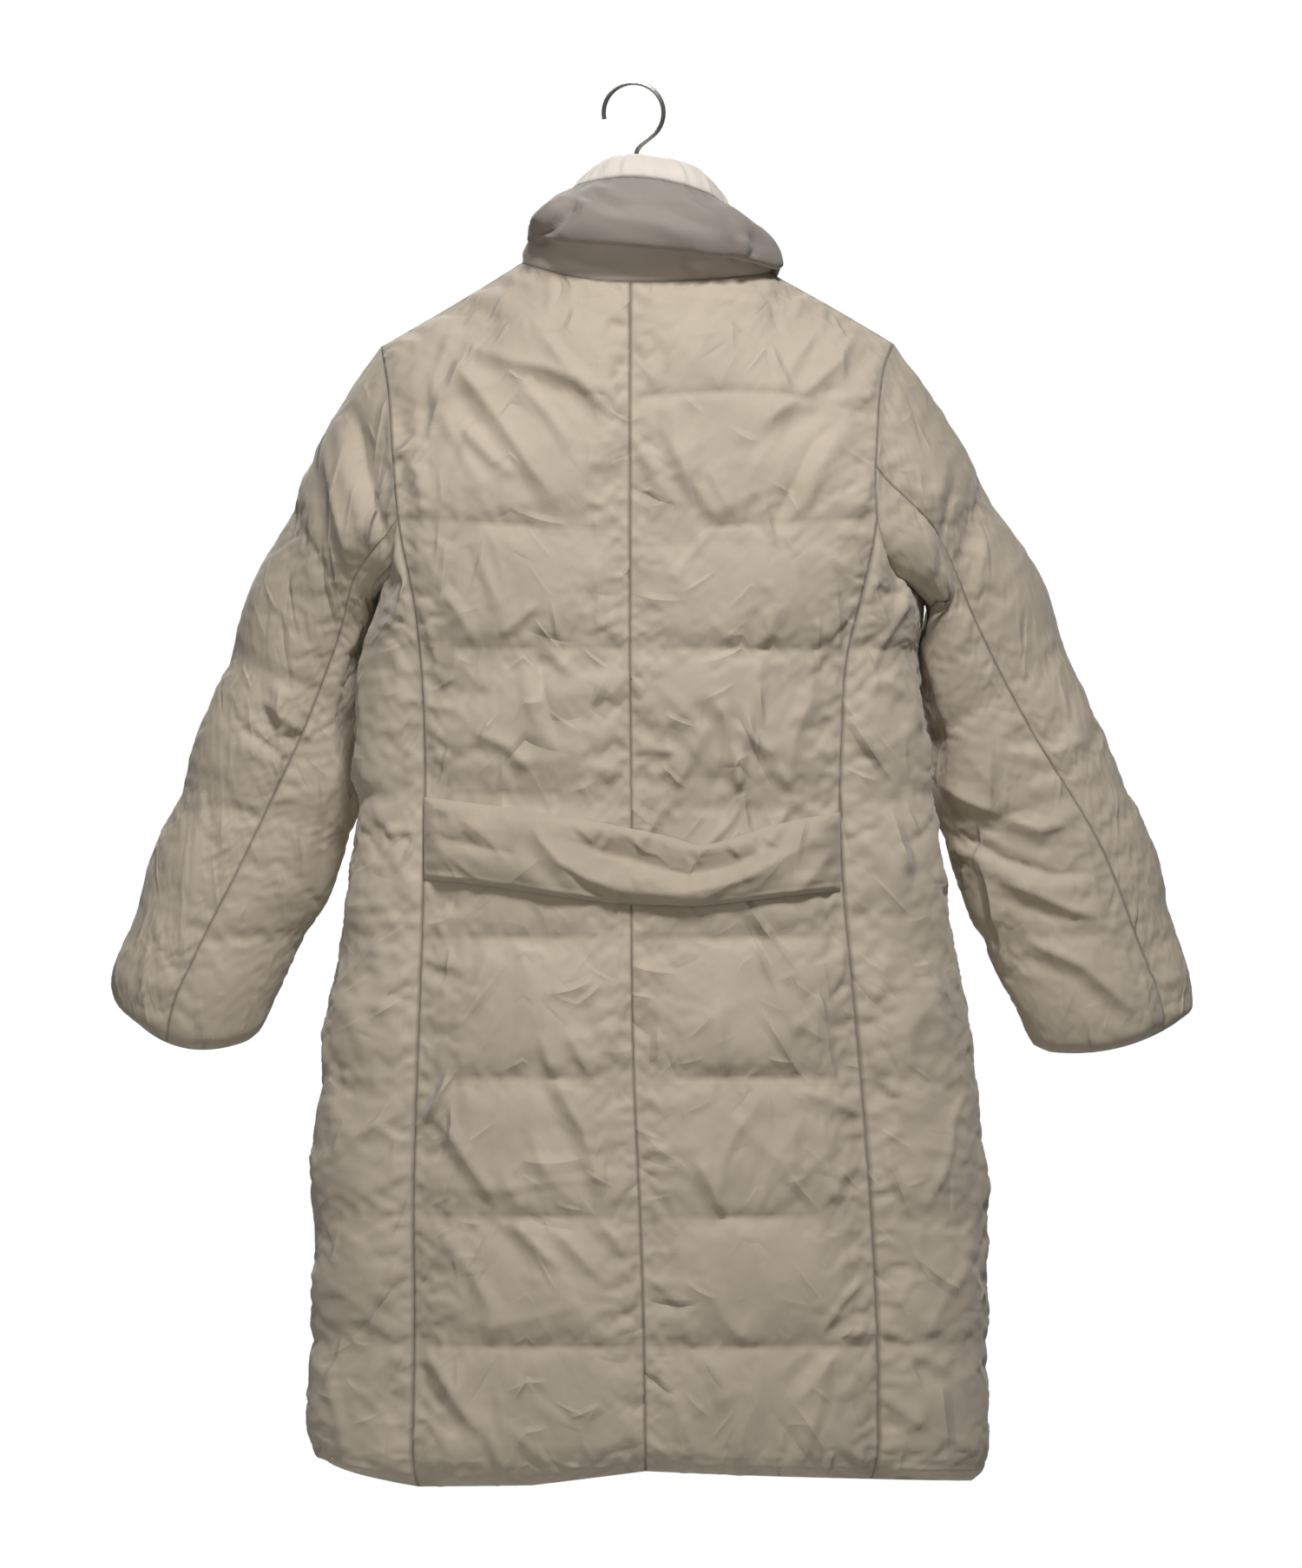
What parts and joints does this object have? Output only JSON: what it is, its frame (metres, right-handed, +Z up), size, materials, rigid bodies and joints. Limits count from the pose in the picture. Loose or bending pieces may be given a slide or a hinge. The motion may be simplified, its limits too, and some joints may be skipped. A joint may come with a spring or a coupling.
{
  "type": "long puffer coat on a hanger",
  "caption": "Long beige puffer coat with a stand collar, princess seams, a padded half belt across the back and two-piece sleeves, hung on a hanger with a wire hook",
  "frame": {"origin": "the top of the hook's inside, where it lies on a rail", "axes": "+Z is up, +Y points out of the coat's back, +X to the wearer's left"},
  "size_m": [0.9269, 0.262, 1.1913],
  "materials": {
    "coat_cloth": "matt, padded and quilted",
    "collar_lining": "matt, padded",
    "belt_cloth": "matt, padded",
    "bar_plastic": "plain",
    "hook_steel": "bright wire"
  },
  "bodies": {
    "root": {"back_centre_left": "coat_cloth", "back_centre_right": "coat_cloth", "back_side_left": "coat_cloth", "back_side_right": "coat_cloth", "front_left": "coat_cloth", "front_right": "coat_cloth", "collar_outer": "coat_cloth", "top_sleeve_left": "coat_cloth", "top_sleeve_right": "coat_cloth", "under_sleeve_left": "coat_cloth", "under_sleeve_right": "coat_cloth", "collar_inner": "collar_lining", "half_belt": "belt_cloth", "hanger_bar": "bar_plastic", "hanger_hook": "hook_steel"}
  },
  "joints": []
}
